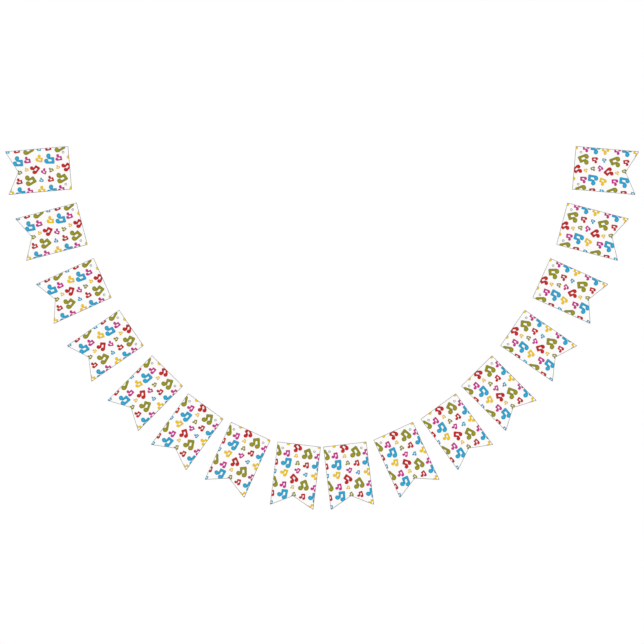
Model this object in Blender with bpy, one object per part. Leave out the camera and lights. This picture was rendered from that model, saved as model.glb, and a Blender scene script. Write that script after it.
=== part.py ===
"""A bunting of sixteen swallowtail cloth flags, laid out flat in one hanging curve.

Metres, +Z up. The flags lie on the plane z = 0, face up, and their tails point outward from the
curve. +Y runs from the lowest flags to the curve's open ends. The origin is at the middle of the
underside of the whole set.
"""

from math import cos, pi, radians, sin
from typing import NamedTuple

import bpy
from mathutils import Matrix, Vector

# One flag: its cut size and the two punched holes near its top corners.
FLAG_WIDTH = 0.150
FLAG_LENGTH = 0.219
NOTCH_DEPTH = 0.039
CLOTH_THICKNESS = 0.001
HOLE_ACROSS = 0.006
HOLE_FROM_SIDE = 0.0194
HOLE_FROM_TOP = 0.0189
HOLE_SIDES = 24

WHITE_CLOTH = (0.955, 0.955, 0.945, 1.0)
CLOTH_ROUGHNESS = 0.85


class Station(NamedTuple):
    """Where a flag's top edge has its middle, in metres, and how far the flag turns, in degrees."""

    out: float  # sideways from the curve's line of symmetry
    up: float  # above the lowest pair
    turn: float  # from hanging straight down, tail outward


# One half of the curve, from its open end to its lowest flag; the other half mirrors it.
HALF_CURVE = (
    Station(out=0.874, up=0.959, turn=85.1),
    Station(out=0.832, up=0.765, turn=75.4),
    Station(out=0.761, up=0.577, turn=65.7),
    Station(out=0.661, up=0.404, turn=55.5),
    Station(out=0.536, up=0.255, turn=44.8),
    Station(out=0.403, up=0.132, turn=36.1),
    Station(out=0.247, up=0.046, turn=24.6),
    Station(out=0.079, up=0.000, turn=6.9),
)


def clear_scene():
    for obj in list(bpy.data.objects):
        bpy.data.objects.remove(obj, do_unlink=True)


def cloth_material():
    material = bpy.data.materials.new("printed_cloth")
    material.use_nodes = True
    shader = material.node_tree.nodes["Principled BSDF"]
    shader.inputs["Base Color"].default_value = WHITE_CLOTH
    shader.inputs["Roughness"].default_value = CLOTH_ROUGHNESS
    shader.inputs["Metallic"].default_value = 0.0
    return material


def flag_corners():
    """The swallowtail outline, anticlockwise, with the middle of the top edge at (0, 0)."""
    half = FLAG_WIDTH / 2
    return [
        (-half, 0),
        (-half, -FLAG_LENGTH),
        (0, NOTCH_DEPTH - FLAG_LENGTH),
        (half, -FLAG_LENGTH),
        (half, 0),
    ]


def hole_points(side):
    """The punched hole on the given side, -1 or 1, as a ring of short straight steps."""
    centre = Vector((side * (FLAG_WIDTH / 2 - HOLE_FROM_SIDE), -HOLE_FROM_TOP))
    steps = (2 * pi * step / HOLE_SIDES for step in range(HOLE_SIDES))
    return [centre + HOLE_ACROSS / 2 * Vector((cos(a), sin(a))) for a in steps]


def flag_curve(material):
    """The flag's flat outline and its two holes, filled and extruded to the cloth's thickness."""
    curve = bpy.data.curves.new("flag_cut", "CURVE")
    curve.dimensions = "2D"
    curve.fill_mode = "BOTH"
    curve.extrude = CLOTH_THICKNESS / 2
    for outline in (flag_corners(), hole_points(-1), hole_points(1)):
        spline = curve.splines.new("POLY")
        spline.points.add(len(outline) - 1)
        for point, (x, y) in zip(spline.points, outline):
            point.co = (x, y, 0, 1)
        spline.use_cyclic_u = True
    curve.materials.append(material)
    return curve


def flag_places():
    """Each flag's place as a matrix, from the left end of the curve to the right end."""
    left = [(-s.out, s.up, -radians(s.turn)) for s in HALF_CURVE]
    right = [(s.out, s.up, radians(s.turn)) for s in reversed(HALF_CURVE)]
    return [
        Matrix.Translation((x, y, CLOTH_THICKNESS / 2)) @ Matrix.Rotation(turn, 4, "Z")
        for x, y, turn in left + right
    ]


def middle_height(places):
    """Halfway between the lowest and the highest corner of all the flags."""
    heights = [(place @ Vector((x, y, 0))).y for place in places for x, y in flag_corners()]
    return (min(heights) + max(heights)) / 2


def main():
    clear_scene()
    bunting = bpy.data.collections.new("bunting")
    bpy.context.scene.collection.children.link(bunting)
    curve = flag_curve(cloth_material())
    places = flag_places()
    centred = Matrix.Translation((0, -middle_height(places), 0))
    for number, place in enumerate(places, start=1):
        flag = bpy.data.objects.new(f"flag_{number:02d}", curve)
        flag.matrix_world = centred @ place
        bunting.objects.link(flag)


main()
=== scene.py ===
"""The bunting's looks: sixteen printed cloth flags with sealed edges, laid out in a pale studio. The
sealed edges' dark grey is partly painted shade.

Lengths are metres, and millimetres where a name ends in _mm or a comment says so. A flag's own
directions are across, from its left side to its right as its print is read, and down, from its top
edge to its tails.
"""
from math import cos, hypot, pi, radians, sin
from typing import NamedTuple

import bpy
import numpy as np
from bpy.props import FloatProperty, FloatVectorProperty, IntProperty, PointerProperty
from bpy.types import Operator, Panel, PropertyGroup
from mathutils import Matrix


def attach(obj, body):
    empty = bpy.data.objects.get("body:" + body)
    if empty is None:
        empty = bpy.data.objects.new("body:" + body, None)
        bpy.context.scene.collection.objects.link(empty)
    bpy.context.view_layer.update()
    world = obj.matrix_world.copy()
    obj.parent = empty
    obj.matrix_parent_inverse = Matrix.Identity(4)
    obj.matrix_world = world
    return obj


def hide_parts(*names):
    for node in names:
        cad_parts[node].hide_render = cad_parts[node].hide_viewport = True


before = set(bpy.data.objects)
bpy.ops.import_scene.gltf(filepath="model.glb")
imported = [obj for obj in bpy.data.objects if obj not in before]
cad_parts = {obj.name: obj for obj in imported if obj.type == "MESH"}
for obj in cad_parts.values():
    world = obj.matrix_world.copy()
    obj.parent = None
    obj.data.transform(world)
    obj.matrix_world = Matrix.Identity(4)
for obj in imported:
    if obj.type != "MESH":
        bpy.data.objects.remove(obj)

bl_info = {
    "name": "Music note bunting",
    "version": (1, 0, 0),
    "blender": (4, 5, 0),
    "location": "3D View > Sidebar > Bunting",
    "description": "Lays printed cloth flags over the bunting's plain solids and sets a pale studio",
    "category": "Object",
}

CUT_MAP = "cut"
EDGE_DISTANCE = "edge_distance"
PRINTED_SIDE = "printed_side"
MM = 1000.0

# The picture's width on the surface, and how far up from the set's middle its own middle is.
PICTURE_WIDTH = 2.2330
PICTURE_MIDDLE_UP = 0.0205
LENS_MM = 85.0
SENSOR_MM = 36.0
# How far the camera sees, and how the key light is turned from straight down, in degrees.
VIEW_REACH = 200.0
KEY_TURN = (-32, -28, 0)


def from_screen(red, green, blue):
    """The linear colour, which Blender's sockets hold, of a screen colour from 0 to 255."""
    shares = [channel / 255 for channel in (red, green, blue)]
    return tuple(s / 12.92 if s <= 0.04045 else ((s + 0.055) / 1.055) ** 2.4 for s in shares)


class Cut(NamedTuple):
    """A flag's cut sizes."""

    width: float
    length: float
    notch: float
    hole_across: float  # from the flag's middle line to a hole's centre
    hole_down: float
    hole_radius: float


class Place(NamedTuple):
    """Where a flag lies, seen from above: the middle of its top edge and its two directions."""

    top: np.ndarray
    across: np.ndarray
    down: np.ndarray


def seen_from_above(node):
    """A solid's vertices from above, and the corners of its upward triangles with their areas."""
    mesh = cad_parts[node].data
    mesh.calc_loop_triangles()
    points = np.empty(3 * len(mesh.vertices))
    mesh.vertices.foreach_get("co", points)
    corners = np.empty(3 * len(mesh.loop_triangles), int)
    mesh.loop_triangles.foreach_get("vertices", corners)
    points = points.reshape(-1, 3)[:, :2]
    triangles = points[corners.reshape(-1, 3)]
    sides = triangles[:, 1:] - triangles[:, :1]
    areas = (sides[:, 0, 0] * sides[:, 1, 1] - sides[:, 0, 1] * sides[:, 1, 0]) / 2
    upward = areas > 0
    return points, triangles[upward], areas[upward]


def read_flag(node):
    """A flag's place and cut, worked out from its solid.

    The flag is its own mirror image about its middle line and longer than wide, so that line runs
    through the face's centre of area, along the axis of its larger second moment of area. The
    tails are at the end that lies further from the vertices' mean, since the holes hold most of
    the vertices and lie near the top edge. The notch ends at the lowest vertex on the middle line.
    The right hole's rim is the vertices in the upper half between that line and the right side.
    """
    points, triangles, areas = seen_from_above(node)
    middle = areas @ triangles.mean(axis=1) / areas.sum()
    around = triangles - middle
    whole = around.sum(axis=1)
    moments = np.einsum("t,tci,tcj->ij", areas, around, around)
    moments += np.einsum("t,ti,tj->ij", areas, whole, whole)
    down = np.linalg.eigh(moments)[1][:, 1]
    if (points.mean(axis=0) - middle) @ down > 0:
        down = -down
    across = np.array([-down[1], down[0]])
    x, y = (points - middle) @ across, (points - middle) @ down
    top = y.min()
    width, length = np.ptp(x), np.ptp(y)
    near = length / 100
    notch_end = y[np.abs(x) < near].max()
    right_hole = (x > near) & (x < width / 2 - near) & (y < top + length / 2)
    cut = Cut(
        width=width,
        length=length,
        notch=top + length - notch_end,
        hole_across=(x[right_hole].min() + x[right_hole].max()) / 2,
        hole_down=(y[right_hole].min() + y[right_hole].max()) / 2 - top,
        hole_radius=np.ptp(x[right_hole]) / 2,
    )
    return Place(middle + top * down, across, down), cut


FLAGS = sorted(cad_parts)
FIRST_CUT = read_flag(FLAGS[0])[1]


def length_setting(name, description, default):
    """A length that a user can change, in metres."""
    return FloatProperty(name=name, description=description, default=default, unit="LENGTH")


def colour_setting(name, description, default):
    """A colour that a user can change, linear."""
    return FloatVectorProperty(
        name=name,
        description=description,
        size=3,
        subtype="COLOR",
        default=default,
    )


def ink_setting(name, screen):
    """An ink that a user can change, given as a screen colour."""
    return colour_setting(name, f"Colour of the {name.lower()} ink", from_screen(*screen))


class ClothSettings(PropertyGroup):
    """The cloth that the flags are cut from, and how they lie."""

    thickness: length_setting("Thickness", "Thickness of the cloth", 0.0005)
    bead_width: length_setting(
        "Sealed edge",
        "Width of the hard edge that the hot cut leaves",
        0.0011,
    )
    bead_thickness: length_setting("Edge thickness", "Thickness of the sealed edge", 0.0008)
    wave_height: length_setting(
        "Waves",
        "Height of the long, low waves in the cloth as it lies",
        FIRST_CUT.width / 500,
    )
    wave_length: length_setting(
        "Wave length",
        "Distance from one long wave to the next",
        FIRST_CUT.width * 0.7,
    )
    hole_lift: length_setting(
        "Hole lift",
        "How far the punch leaves the cloth raised round a hole",
        FIRST_CUT.width / 200,
    )
    tip_lift: length_setting(
        "Tip lift",
        "How far a tail's tip stands off the surface",
        FIRST_CUT.width / 100,
    )
    thread_pitch: length_setting(
        "Thread pitch",
        "Distance from one thread of the weave to the next",
        0.0006,
    )
    ground: colour_setting("Ground", "Colour of the unprinted cloth", (0.935, 0.93, 0.925))
    # The sealed edges' dark grey is partly the seal's own colour and partly painted shade, standing
    # in for the shade along the cut edges and inside the holes.
    sealed_and_painted_shade: colour_setting(
        "Sealed edge colour",
        "Colour of the sealed edges and hole rims",
        from_screen(24, 23, 26),
    )


class PrintSettings(PropertyGroup):
    """The inks of the print and the size of its repeat."""

    repeat_across: length_setting(
        "Repeat across",
        "Width of one repeat of the print",
        FIRST_CUT.width * 0.72,
    )
    repeat_down: length_setting(
        "Repeat down",
        "Height of one repeat of the print",
        FIRST_CUT.length * 0.4985,
    )
    blue: ink_setting("Blue", (36, 162, 205))
    red: ink_setting("Red", (194, 22, 27))
    pink: ink_setting("Pink", (205, 45, 144))
    yellow: ink_setting("Yellow", (243, 201, 3))
    olive: ink_setting("Olive", (146, 142, 14))


class StageSettings(PropertyGroup):
    """The floor and the light."""

    floor_colour: colour_setting("Floor", "Colour of the floor", (0.955, 0.955, 0.955))
    sky_light: FloatProperty(
        name="Sky light",
        description="Brightness of the even light from all round",
        default=0.82,
    )
    key_light: FloatProperty(
        name="Key light",
        description="Brightness of the broad light from the upper left",
        default=1.0,
    )
    key_softness: FloatProperty(
        name="Key softness",
        description="How wide the key light looks from the surface",
        default=radians(24),
        subtype="ANGLE",
    )
    grid_cells: IntProperty(
        name="Floor cells",
        description="Cells along each side of the floor",
        default=8,
    )


class Note(NamedTuple):
    """One printed note in the repeat, in millimetres from the middle of the flag's top edge."""

    across: float
    down: float
    size: float  # over its heads and beam
    lean: float  # in degrees, clockwise
    ink: str

    @property
    def scale(self):
        """Its size as a multiple of the drawn note's."""
        return self.size / DRAWN_SIZE


# The toss of large, middling and small notes that the print repeats.
CHART = (
    Note(across=-38.1, down=69.1, size=35.0, lean=0, ink="blue"),
    Note(across=30.1, down=34.5, size=36.4, lean=-30, ink="olive"),
    Note(across=-5.8, down=124.2, size=30.0, lean=-53, ink="red"),
    Note(across=-39.8, down=36.8, size=23.0, lean=-8, ink="pink"),
    Note(across=31.5, down=70.8, size=21.2, lean=-13, ink="red"),
    Note(across=-41.9, down=103.2, size=25.0, lean=12, ink="yellow"),
    Note(across=3.2, down=90.4, size=19.1, lean=24, ink="pink"),
    Note(across=32.9, down=102.2, size=14.8, lean=4, ink="blue"),
    Note(across=-7.0, down=41.7, size=13.8, lean=-18, ink="yellow"),
    Note(across=0.9, down=66.8, size=15.8, lean=-31, ink="olive"),
)


class Stroke(NamedTuple):
    """A straight stroke with round ends, in drawn millimetres from a note's middle."""

    start: tuple
    end: tuple
    radius: float


# The note as drawn, upright and at this size over its heads and beam. Down is positive.
DRAWN_SIZE = 35.0
LEFT_HEAD = Stroke(start=(-10.2, 1.4), end=(-8.5, 2.2), radius=7.4)
LEFT_STEM = Stroke(start=(1.1, -12.6), end=(-1.5, 1.8), radius=3.9)
RIGHT_HEAD = Stroke(start=(7.0, 10.4), end=(9.1, 10.2), radius=7.3)
RIGHT_STEM = Stroke(start=(14.9, -12.8), end=(13.6, 8.3), radius=4.1)
BEAM_MIDDLE = (7.5, -13.1)
BEAM_HALF_SIZE = (11.1, 4.8)
BEAM_ROUNDING = 2.5
# How softly the inner corners are filled, between a head and its stem, and under the beam.
HEAD_FILL = 2.2
BEAM_FILL = 3.2


class Wire:
    """A value in a material's nodes. Arithmetic on it adds Math nodes."""

    def __init__(self, recipe, socket):
        self.recipe = recipe
        self.socket = socket

    def __add__(self, other):
        return self.recipe.math("ADD", self, other)

    def __sub__(self, other):
        return self.recipe.math("SUBTRACT", self, other)

    def __rsub__(self, other):
        return self.recipe.math("SUBTRACT", other, self)

    def __mul__(self, other):
        return self.recipe.math("MULTIPLY", self, other)

    def __lt__(self, other):
        return self.recipe.math("LESS_THAN", self, other)

    def __abs__(self):
        return self.recipe.math("ABSOLUTE", self)

    __radd__ = __add__
    __rmul__ = __mul__


class Recipe:
    """A new material and the nodes that mix it."""

    def __init__(self, name):
        self.material = bpy.data.materials.new(name)
        self.material.use_nodes = True
        self.tree = self.material.node_tree
        self.tree.nodes.clear()

    def node(self, kind, settings=None, values=None, output=0):
        """Adds a node: its settings first, then its sockets' values or links. Returns one output."""
        node = self.tree.nodes.new(kind)
        for name, setting in (settings or {}).items():
            setattr(node, name, setting)
        for socket, value in (values or {}).items():
            if isinstance(value, Wire):
                self.tree.links.new(value.socket, node.inputs[socket])
            else:
                node.inputs[socket].default_value = value
        return Wire(self, node.outputs[output])

    def math(self, operation, *values):
        return self.node("ShaderNodeMath", {"operation": operation}, dict(enumerate(values)))

    def vector(self, operation, *values, scale=None, output=0):
        sockets = dict(enumerate(values))
        if scale is not None:
            sockets["Scale"] = scale
        return self.node("ShaderNodeVectorMath", {"operation": operation}, sockets, output)

    def length(self, vector):
        return self.vector("LENGTH", vector, output="Value")

    def split(self, vector):
        """The first two parts of a vector."""
        parts = [self.node("ShaderNodeSeparateXYZ", None, {0: vector}, axis) for axis in (0, 1)]
        return tuple(parts)

    def choose(self, share, first, second, kind):
        """Mixes numbers, vectors or colours: first where share is 0 and second where it is 1."""
        # Each kind has two inputs and an output of its own on the Mix node, told by number.
        low, high, output = {"FLOAT": (2, 3, 0), "VECTOR": (4, 5, 1), "RGBA": (6, 7, 2)}[kind]
        values = {0: share, low: first, high: second}
        return self.node("ShaderNodeMix", {"data_type": kind}, values, output)

    def step(self, value, low, high, at_low=0.0, at_high=1.0):
        """An eased step from at_low to at_high while value goes from low to high."""
        values = {0: value, 1: low, 2: high, 3: at_low, 4: at_high}
        return self.node("ShaderNodeMapRange", {"interpolation_type": "SMOOTHSTEP"}, values)

    def attribute(self, name):
        return self.node("ShaderNodeAttribute", {"attribute_name": name}, None, "Fac")

    def noise(self, vector, scale):
        return self.node("ShaderNodeTexNoise", None, {"Vector": vector, "Scale": scale})

    def finish(self, surface):
        output = self.tree.nodes.new("ShaderNodeOutputMaterial")
        self.tree.links.new(surface.socket, output.inputs["Surface"])
        return self.material


def stroke_distance(recipe, point, stroke):
    """Distance to a stroke's edge: to the nearest point of its middle line, less its radius."""
    across, down = (end - start for start, end in zip(stroke.start, stroke.end))
    reach = hypot(across, down)
    direction = (across / reach, down / reach, 0)
    offset = recipe.vector("SUBTRACT", point, (*stroke.start, 0))
    along = recipe.vector("DOT_PRODUCT", offset, direction, output="Value")
    along = recipe.node("ShaderNodeClamp", None, {"Value": along, "Min": 0.0, "Max": reach})
    nearest = recipe.vector("SCALE", direction, scale=along)
    return recipe.length(recipe.vector("SUBTRACT", offset, nearest)) - stroke.radius


def beam_distance(recipe, point):
    """Distance to the edge of the beam, a level bar with rounded corners.

    It is the distance to the bar less its rounding on every side, less that rounding. Inside that
    smaller bar the nearest side counts, and outside it the straight line to its outline.
    """
    offset = recipe.vector("ABSOLUTE", recipe.vector("SUBTRACT", point, (*BEAM_MIDDLE, 0)))
    core = tuple(half - BEAM_ROUNDING for half in BEAM_HALF_SIZE)
    beyond = recipe.vector("SUBTRACT", offset, (*core, 0))
    outside = recipe.length(recipe.vector("MAXIMUM", beyond, (0, 0, 0)))
    deepest = recipe.math("MAXIMUM", *recipe.split(beyond))
    return outside + recipe.math("MINIMUM", deepest, 0.0) - BEAM_ROUNDING


def blend(recipe, first, second, softness):
    """The union of two shapes with its inner corners filled softly, as wet ink fills them."""
    return recipe.math("SMOOTH_MIN", first, second, softness)


def note_distance(recipe, point):
    """Distance to the edge of a pair of beamed notes, less than 0 inside, in drawn millimetres.

    Two heads a little wider than tall, each with a stem up its right side, and a thick beam over
    both stems. The two notes aren't blended with each other, so a narrow slit parts the left
    stem's foot from the right head. The point is in the note's own upright directions, from its
    middle, at its drawn size.
    """
    left, right = (
        blend(
            recipe,
            stroke_distance(recipe, point, head),
            stroke_distance(recipe, point, stem),
            HEAD_FILL,
        )
        for head, stem in ((LEFT_HEAD, LEFT_STEM), (RIGHT_HEAD, RIGHT_STEM))
    )
    notes = recipe.math("MINIMUM", left, right)
    return blend(recipe, notes, beam_distance(recipe, point), BEAM_FILL)


def point_in_note(recipe, place_mm, note, inks):
    """Each point relative to the note's nearest repeat, turned upright and at the drawn size."""
    # The wrap needs a length in every direction. The points have no third one, so any will do.
    repeat = (inks.repeat_across * MM, inks.repeat_down * MM, 2.0)
    high = tuple(length / 2 for length in repeat)
    low = tuple(-length / 2 for length in repeat)
    offset = recipe.vector("SUBTRACT", place_mm, (note.across, note.down, 0))
    offset = recipe.vector("WRAP", offset, high, low)
    turn = {"Vector": offset, "Angle": radians(-note.lean)}
    point = recipe.node("ShaderNodeVectorRotate", {"rotation_type": "Z_AXIS"}, turn)
    return recipe.vector("SCALE", point, scale=1 / note.scale)


def nearest_note(recipe, place_mm, inks):
    """The printed note that each point belongs to.

    It is the one whose middle is nearest, with every note brought to the drawn size. Returns the
    point in that note, the note's scale and its ink.
    """
    candidates = []
    for note in CHART:
        point = point_in_note(recipe, place_mm, note, inks)
        ink = (*getattr(inks, note.ink), 1)
        candidates.append((recipe.length(point), (point, note.scale, ink)))
    (least, nearest), *others = candidates
    kinds = ("VECTOR", "FLOAT", "RGBA")
    for reach, candidate in others:
        nearer = reach < least
        least = recipe.math("MINIMUM", reach, least)
        nearest = tuple(
            recipe.choose(nearer, old, new, kind)
            for old, new, kind in zip(nearest, candidate, kinds)
        )
    return nearest


# The grain's cells in each millimetre, and the slubs' across and down, which makes them long.
GRAIN_SCALE = 1.3
SLUB_STRETCH = (0.05, 1.6, 0)
# How ragged the ink's edge is, and from where to where it fades, in millimetres in from it.
INK_RAGGED_MM = 0.35
INK_FADE_MM = (-0.12, 0.16)
# How far in from its edge the ink changes its tone, and the tones before and after the change.
INK_DEPTHS_MM = (1.5, 7.5)
INK_TONES = (0.82, 1.15)
# The brightness of ink and of plain cloth in the weave's gaps, and the most that each pattern adds.
# The threads' part is painted shade: the colour is darker in the weave's gaps than on the threads.
INK_TONE = 0.92
INK_GRAIN = 0.08
INK_GAP_SHADE = 0.1
GROUND_TONE = 0.94
GROUND_GAP_SHADE = 0.1
GROUND_SLUBS = 0.03
# How ragged the inner side of the sealed edge is, and over what width it fades. The edge's dark grey
# is partly the seal's own colour and partly painted shade along the cut edges and round the holes.
SEAL_RAGGED_MM = 0.3
SEAL_FADE_MM = 0.3
# The roughness of plain cloth, and how much smoother the sealed edge and the ink are.
CLOTH_ROUGHNESS = 0.86
SEAL_SMOOTHER = 0.36
INK_SMOOTHER = 0.08
# The grain's height beside the threads', and the strength of the whole relief.
GRAIN_RELIEF = 0.4
RELIEF_STRENGTH = 0.6


def weave(recipe, place_mm, pitch_mm):
    """Height of a plain weave, 0 to 1: each crossing is a pillow, a sine along both threads."""
    across, down = recipe.split(recipe.vector("SCALE", place_mm, scale=pi / pitch_mm))
    return abs(recipe.math("SINE", across) * recipe.math("SINE", down))


def printed_cloth(cloth, inks):
    """White woven cloth, printed on one side, with its cut edges sealed hard and dark grey, that grey
    partly painted shade.
    """
    recipe = Recipe("printed_cloth")
    place = recipe.node("ShaderNodeUVMap", {"uv_map": CUT_MAP})
    place_mm = recipe.vector("SCALE", place, scale=MM)
    threads = weave(recipe, place_mm, cloth.thread_pitch * MM)
    grain = recipe.noise(place_mm, GRAIN_SCALE)
    slubs = recipe.noise(recipe.vector("MULTIPLY", place_mm, SLUB_STRETCH), 1.0)

    point, scale, ink = nearest_note(recipe, place_mm, inks)
    inside_mm = note_distance(recipe, point) * scale * -1.0 + (grain - 0.5) * INK_RAGGED_MM
    printed = recipe.step(inside_mm, *INK_FADE_MM) * recipe.attribute(PRINTED_SIDE)
    depth_tone = recipe.step(inside_mm, *INK_DEPTHS_MM, *INK_TONES)
    # The threads' part of both tones is painted shade: the colour is darker in the weave's gaps.
    ink_tone = depth_tone * (INK_TONE + INK_GRAIN * grain + INK_GAP_SHADE * threads)
    inked = recipe.vector("SCALE", ink, scale=ink_tone)
    ground_tone = GROUND_TONE + GROUND_GAP_SHADE * threads + GROUND_SLUBS * slubs
    ground = recipe.vector("SCALE", tuple(cloth.ground), scale=ground_tone)
    face = recipe.choose(printed, ground, inked, "RGBA")

    edge_mm = recipe.attribute(EDGE_DISTANCE) * MM
    bead_mm = cloth.bead_width * MM
    ragged_mm = edge_mm + grain * SEAL_RAGGED_MM
    # The seal along the cut edges and hole rims gets the dark grey: partly its own colour, partly
    # painted shade at the edges and in the holes.
    sealed_and_painted_shade = 1.0 - recipe.step(ragged_mm, bead_mm, bead_mm + SEAL_FADE_MM)
    colour = recipe.choose(sealed_and_painted_shade, face, (*cloth.sealed_and_painted_shade, 1), "RGBA")
    relief = threads * (1.0 - sealed_and_painted_shade) + grain * GRAIN_RELIEF
    bump = {"Strength": RELIEF_STRENGTH, "Distance": cloth.thickness / 4, "Height": relief}
    shader = recipe.node(
        "ShaderNodeBsdfPrincipled",
        None,
        {
            "Base Color": colour,
            "Roughness": CLOTH_ROUGHNESS - SEAL_SMOOTHER * sealed_and_painted_shade - INK_SMOOTHER * printed,
            "Specular IOR Level": 0.3,
            "Sheen Weight": 0.08,
            "Normal": recipe.node("ShaderNodeBump", None, bump),
        },
    )
    return recipe.finish(shader)


# The steps over a cut edge's bead, those from there to the first even cells, and the power by
# which the latter grow.
BEAD_STEPS = 6
REACH_STEPS = 5
REACH_GROWTH = 1.5
# The square block of cells, in metres a side, that a hole and the rings round it take up.
BLOCK = 0.014
BLOCK_CELLS = 6
RING_STEPS = 3
# The cells between the two blocks, those from the blocks down to a share of the flag's length,
# and those from there to the foot.
MIDDLE_CELLS = 32
BODY_CELLS = 34
BODY_SHARE = 0.62
FOOT_CELLS = 18
# A point nearer to the cut edge than this, in metres, is on it.
ON_EDGE = 1e-9
# The long waves' lengths as multiples of the set one, and the least share of the set lift that a
# tail's tip has.
WAVE_LENGTHS = (1.0, 1.4, 1.9)
LEAST_TIP_LIFT = 0.2


def bead_steps(bead):
    """Distances in from a cut edge over its bead, at even turns of a cosine."""
    return bead / 2 * (1 - np.cos(np.linspace(0, pi, BEAD_STEPS + 1)))


def edge_steps(reach, bead):
    """Distances in from a cut edge: over the bead, then growing as a power up to reach."""
    beyond = bead + (reach - bead) * np.linspace(0, 1, REACH_STEPS + 1)[1:] ** REACH_GROWTH
    return np.concatenate([bead_steps(bead), beyond])


def join(*runs):
    """Runs of stations, each starting where the one before it ends, as one run."""
    return np.concatenate([runs[0], *(run[1:] for run in runs[1:])])


def grid_lines(cut, bead):
    """Every grid point's distance across and down, as two arrays of rows and columns.

    The columns are straight and stand closer together at the sides. The rows are level down to
    a little below the flag's middle. From there each point's share of the way to the foot's own
    steps is the same in every column. Those steps follow the notch, and are longer down than
    they are square to its slanting edges.
    """
    block_start = cut.hole_across - BLOCK / 2
    side = edge_steps(cut.width / 2 - cut.hole_across - BLOCK / 2, bead) - cut.width / 2
    block = np.linspace(-block_start - BLOCK, -block_start, BLOCK_CELLS + 1)
    middle = np.linspace(-block_start, block_start, MIDDLE_CELLS + 1)
    columns = join(side, block, middle, -block[::-1], -side[::-1])

    head = edge_steps(cut.hole_down - BLOCK / 2, bead)
    beside = np.linspace(head[-1], head[-1] + BLOCK, BLOCK_CELLS + 1)
    body = np.linspace(beside[-1], cut.length * BODY_SHARE, BODY_CELLS + 1)
    level = join(head, beside, body)

    foot = cut.length - cut.notch * (1 - np.abs(columns) / (cut.width / 2))
    slant = hypot(1, cut.notch / (cut.width / 2))
    inward = slant * edge_steps(BLOCK / 2, bead)[::-1, None]
    share = np.linspace(0, 1, FOOT_CELLS + 1)[1:, None]
    down = np.vstack(
        [
            np.repeat(level[:, None], len(columns), axis=1),
            body[-1] + share * (foot - inward[0] - body[-1]),
            foot - inward[1:],
        ]
    )
    return np.broadcast_to(columns, down.shape), down


def hole_block(down_first, across_first, columns):
    """A square block's cells in a grid with this many columns, and the points round it in order."""
    steps = np.arange(BLOCK_CELLS)
    cells = ((down_first + steps[:, None]) * (columns - 1) + across_first + steps).ravel()
    low, high = np.zeros(BLOCK_CELLS, int), np.full(BLOCK_CELLS, BLOCK_CELLS)
    rows = np.concatenate([low, steps, high, high - steps])
    across = np.concatenate([steps, high, high - steps, low])
    return cells, (down_first + rows) * columns + across_first + across


def ring(points, around, middle, cut, bead):
    """New points from a block's edge in to the hole, and their faces.

    On the ray through each point of the block's edge, the distances out from the hole's rim are
    those of a cut edge over the bead, and even from there to the block's edge.
    """
    offset = points[around] - middle
    reach = np.linalg.norm(offset, axis=1, keepdims=True)
    shares = np.linspace(1, 0, RING_STEPS + 1)[1:-1]
    room = reach - cut.hole_radius - bead
    layers = [middle + offset / reach * (cut.hole_radius + bead + room * s) for s in shares]
    layers += [middle + offset / reach * (cut.hole_radius + d) for d in bead_steps(bead)[::-1]]
    index = len(points) + np.arange(len(layers) * len(around)).reshape(len(layers), -1)
    loops = np.vstack([around, index])
    outer, inner = loops[:-1], loops[1:]
    faces = [outer, np.roll(outer, -1, axis=1), np.roll(inner, -1, axis=1), inner]
    return np.vstack(layers), np.stack(faces, axis=-1).reshape(-1, 4)


def flat_cut(cut, bead):
    """The flag laid flat: points as distances across and down, and four-sided faces, face up."""
    across, down = grid_lines(cut, bead)
    rows, columns = across.shape
    points = np.stack([across.ravel(), down.ravel()], axis=1)
    corner = (np.arange(rows - 1)[:, None] * columns + np.arange(columns - 1)).ravel()
    faces = np.stack([corner, corner + 1, corner + columns + 1, corner + columns], axis=1)
    kept = np.ones(len(faces), bool)
    edge_cells = BEAD_STEPS + REACH_STEPS
    starts = (edge_cells, columns - 1 - edge_cells - BLOCK_CELLS)
    rings = []
    for side, start in zip((-1, 1), starts):
        cells, around = hole_block(edge_cells, start, columns)
        kept[cells] = False
        middle = np.array([side * cut.hole_across, cut.hole_down])
        new_points, new_faces = ring(points, around, middle, cut, bead)
        points = np.vstack([points, new_points])
        rings.append(new_faces)
    faces = np.vstack([faces[kept], *rings])
    return points, faces[:, ::-1]


def distance_to_edge(points, cut):
    """Each point's distance to the nearest cut.

    That is the least of its distances to the outline's five straight edges, measured as
    segments, and to the rims of the two holes.
    """
    half = cut.width / 2
    outline = np.array(
        [(-half, 0), (half, 0), (half, cut.length), (0, cut.length - cut.notch), (-half, cut.length)]
    )
    distances = []
    for start, end in zip(outline, np.roll(outline, -1, axis=0)):
        edge = end - start
        share = np.clip((points - start) @ edge / (edge @ edge), 0, 1)
        distances.append(np.linalg.norm(points - start - share[:, None] * edge, axis=1))
    for side in (-1, 1):
        middle = np.array([side * cut.hole_across, cut.hole_down])
        distances.append(np.linalg.norm(points - middle, axis=1) - cut.hole_radius)
    return np.min(distances, axis=0)


def half_thickness(edge, cloth):
    """Half the thickness at a distance from the cut edge.

    Over the bead it is a half ellipse as wide as the bead, or the cloth's own half thickness
    where that is more. The cloth's rises from nothing at the edge to full at the bead's middle.
    """
    across_bead = 1 - 2 * edge / cloth.bead_width
    bead = cloth.bead_thickness / 2 * np.sqrt(np.clip(1 - across_bead**2, 0, 1))
    plain = cloth.thickness / 2 * np.clip(2 * edge / cloth.bead_width, 0, 1)
    return np.maximum(bead, plain)


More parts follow.
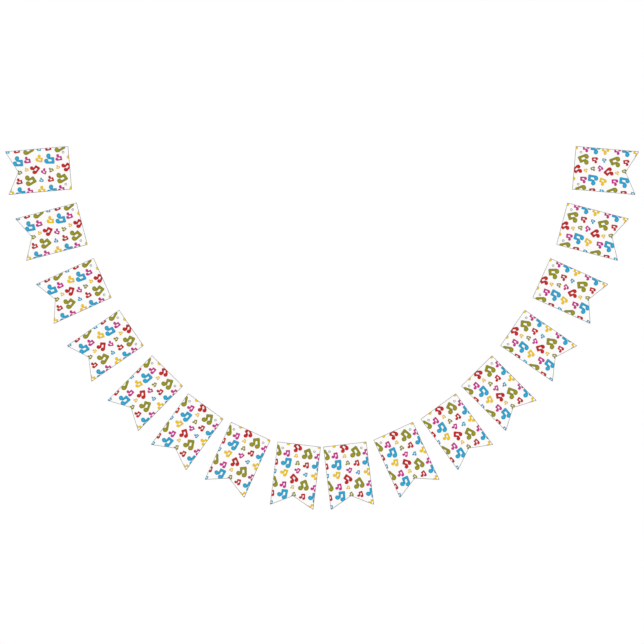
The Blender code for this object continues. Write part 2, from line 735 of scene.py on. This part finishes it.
def lie(points, cut, cloth, seed):
    """Height of the cloth's middle over its flat rest.

    Three long waves of random direction and phase are added, kept within the set height and
    raised until their hollows touch the surface. Round each hole the cloth rises as a bell, a
    Gaussian of the distance from the hole's centre over the hole's own width. Towards its tip,
    each tail lifts as the square of the way from the notch, by a random share of the set lift.
    """
    random = np.random.default_rng(seed)
    heights = np.zeros(len(points))
    for wave_length in cloth.wave_length * np.array(WAVE_LENGTHS):
        turn, phase = random.uniform(0, 2 * pi, 2)
        along = points @ np.array([cos(turn), sin(turn)])
        heights += np.cos(2 * pi * along / wave_length + phase)
    heights = (heights - heights.min()) * cloth.wave_height / (2 * len(WAVE_LENGTHS))
    for side in (-1, 1):
        away = np.linalg.norm(points - (side * cut.hole_across, cut.hole_down), axis=1)
        heights += cloth.hole_lift * np.exp(-((away / (2 * cut.hole_radius)) ** 2))
    lifts = random.uniform(LEAST_TIP_LIFT, 1, 2) * cloth.tip_lift
    lift = np.where(points[:, 0] < 0, *lifts)
    past_notch = np.clip((points[:, 1] - cut.length + cut.notch) / cut.notch, 0, 1)
    return heights + lift * past_notch**2


def cloth_surface(cut, cloth, seed):
    """The whole flag as a closed surface in its own directions.

    The upper and the lower face are the flat cut raised and lowered by half the thickness, and
    they share the points on the cut edge, where the thickness is nothing. Returns the points as
    distances across and down, their heights, the faces, the points' distances to the cut edge,
    and which faces are on top.
    """
    flat, faces = flat_cut(cut, cloth.bead_width)
    edge = distance_to_edge(flat, cut)
    edge[edge < ON_EDGE] = 0
    half = half_thickness(edge, cloth)
    middle = cloth.bead_thickness / 2 + lie(flat, cut, cloth, seed)
    below = np.where(edge > 0)[0]
    lower = np.arange(len(flat))
    lower[below] = len(flat) + np.arange(len(below))
    points = np.vstack([flat, flat[below]])
    heights = np.concatenate([middle + half, (middle - half)[below]])
    on_top = np.arange(2 * len(faces)) < len(faces)
    faces = np.vstack([faces, lower[faces[:, ::-1]]])
    return points, heights, faces, np.concatenate([edge, edge[below]]), on_top


def lay_flag(name, place, cut, cloth, seed, material):
    """Makes one flag's mesh where the flag lies, with its cut map and edge distances."""
    flat, heights, faces, edge, on_top = cloth_surface(cut, cloth, seed)
    ground = place.top + flat[:, :1] * place.across + flat[:, 1:] * place.down
    mesh = bpy.data.meshes.new(name)
    mesh.from_pydata(np.column_stack([ground, heights]), [], faces)
    mesh.uv_layers.new(name=CUT_MAP).data.foreach_set("uv", flat[faces.ravel()].ravel())
    mesh.attributes.new(EDGE_DISTANCE, "FLOAT", "POINT").data.foreach_set("value", edge)
    mesh.attributes.new(PRINTED_SIDE, "FLOAT", "FACE").data.foreach_set("value", on_top.astype(float))
    mesh.shade_smooth()
    mesh.materials.append(material)
    return bpy.data.objects.new(name, mesh)


def cut_area(cut):
    """The flag's flat area: a rectangle less the notch's triangle and the two holes."""
    return cut.width * cut.length - cut.width * cut.notch / 2 - 2 * pi * cut.hole_radius**2


class BUNTING_OT_lay_flags(Operator):
    """Lay a printed cloth flag over each plain solid"""

    bl_idname = "bunting.lay_flags"
    bl_label = "Lay the flags"

    def execute(self, context):
        cloth = context.scene.bunting_cloth
        material = printed_cloth(cloth, context.scene.bunting_print)
        group = bpy.data.collections.new("bunting")
        context.scene.collection.children.link(group)
        for seed, node in enumerate(FLAGS, start=1):
            place, cut = read_flag(node)
            flag = lay_flag(f"{node}_cloth", place, cut, cloth, seed, material)
            group.objects.link(flag)
            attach(flag, "root")
            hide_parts(node)
            cut_area(cut)
        return {"FINISHED"}


# The floor's side and the mottle's cells in each metre, then its tone in the mottle's darkest
# parts and the most that the mottle adds.
FLOOR_SIDE = 60.0
MOTTLE_SCALE = 1.5
FLOOR_TONE = 0.99
FLOOR_MOTTLE = 0.02


def floor_material(colour):
    """Pale matt board with a faint, slow change in its tone."""
    recipe = Recipe("pale_floor")
    place = recipe.node("ShaderNodeTexCoord", None, None, "Object")
    tone = FLOOR_TONE + FLOOR_MOTTLE * recipe.noise(place, MOTTLE_SCALE)
    shade = recipe.vector("SCALE", tuple(colour), scale=tone)
    shader = recipe.node("ShaderNodeBsdfPrincipled", None, {"Base Color": shade, "Roughness": 0.9})
    return recipe.finish(shader)


def make_floor(settings):
    """A level square grid under the flags, centred on the set."""
    stations = np.linspace(-FLOOR_SIDE / 2, FLOOR_SIDE / 2, settings.grid_cells + 1)
    across, up = np.meshgrid(stations, stations)
    side = len(stations)
    corner = (np.arange(side - 1)[:, None] * side + np.arange(side - 1)).ravel()
    faces = np.stack([corner, corner + 1, corner + side + 1, corner + side], axis=1)
    mesh = bpy.data.meshes.new("floor")
    level = np.zeros_like(across)
    mesh.from_pydata(np.stack([across, up, level], axis=-1).reshape(-1, 3), [], faces)
    mesh.materials.append(floor_material(settings.floor_colour))
    return bpy.data.objects.new("floor", mesh)


def make_camera():
    """Straight above the set with a long lens, as wide as the picture."""
    camera = bpy.data.cameras.new("camera")
    camera.lens = LENS_MM
    camera.sensor_width = SENSOR_MM
    camera.clip_end = VIEW_REACH
    seat = bpy.data.objects.new("camera", camera)
    seat.location = (0, PICTURE_MIDDLE_UP, PICTURE_WIDTH * LENS_MM / SENSOR_MM)
    return seat


class BUNTING_OT_set_stage(Operator):
    """Set the pale floor, the soft light and the camera"""

    bl_idname = "bunting.set_stage"
    bl_label = "Set the stage"

    def execute(self, context):
        scene = context.scene
        settings = scene.bunting_stage
        floor = make_floor(settings)
        scene.collection.objects.link(floor)

        world = bpy.data.worlds.new("studio")
        world.use_nodes = True
        background = world.node_tree.nodes["Background"]
        background.inputs["Color"].default_value = (1, 1, 1, 1)
        background.inputs["Strength"].default_value = settings.sky_light
        scene.world = world

        sun = bpy.data.lights.new("key_light", "SUN")
        sun.energy = settings.key_light
        sun.angle = settings.key_softness
        key = bpy.data.objects.new("key_light", sun)
        key.rotation_euler = [radians(turn) for turn in KEY_TURN]
        scene.collection.objects.link(key)

        camera = make_camera()
        scene.collection.objects.link(camera)
        scene.camera = camera
        scene.view_settings.view_transform = "Standard"
        return {"FINISHED"}


class BUNTING_PT_sidebar(Panel):
    """Lists the bunting's operators and settings"""

    bl_idname = "BUNTING_PT_sidebar"
    bl_label = "Bunting"
    bl_space_type = "VIEW_3D"
    bl_region_type = "UI"
    bl_category = "Bunting"

    def draw(self, context):
        scene = context.scene
        for operator in (BUNTING_OT_lay_flags, BUNTING_OT_set_stage):
            self.layout.operator(operator.bl_idname)
        for settings in (scene.bunting_cloth, scene.bunting_print, scene.bunting_stage):
            box = self.layout.box()
            for name in settings.bl_rna.properties.keys():
                if name not in ("rna_type", "name"):
                    box.prop(settings, name)


SETTINGS = {
    "bunting_cloth": ClothSettings,
    "bunting_print": PrintSettings,
    "bunting_stage": StageSettings,
}
CLASSES = (*SETTINGS.values(), BUNTING_OT_lay_flags, BUNTING_OT_set_stage, BUNTING_PT_sidebar)


def register():
    for cls in CLASSES:
        bpy.utils.register_class(cls)
    for name, group in SETTINGS.items():
        setattr(bpy.types.Scene, name, PointerProperty(type=group))


def unregister():
    for name in SETTINGS:
        delattr(bpy.types.Scene, name)
    for cls in reversed(CLASSES):
        bpy.utils.unregister_class(cls)


def main():
    """Dresses the bunting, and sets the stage."""
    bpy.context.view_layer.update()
    register()
    bpy.ops.bunting.lay_flags()
    bpy.ops.bunting.set_stage()
    bpy.context.view_layer.update()


if __name__ == "__main__":
    main()
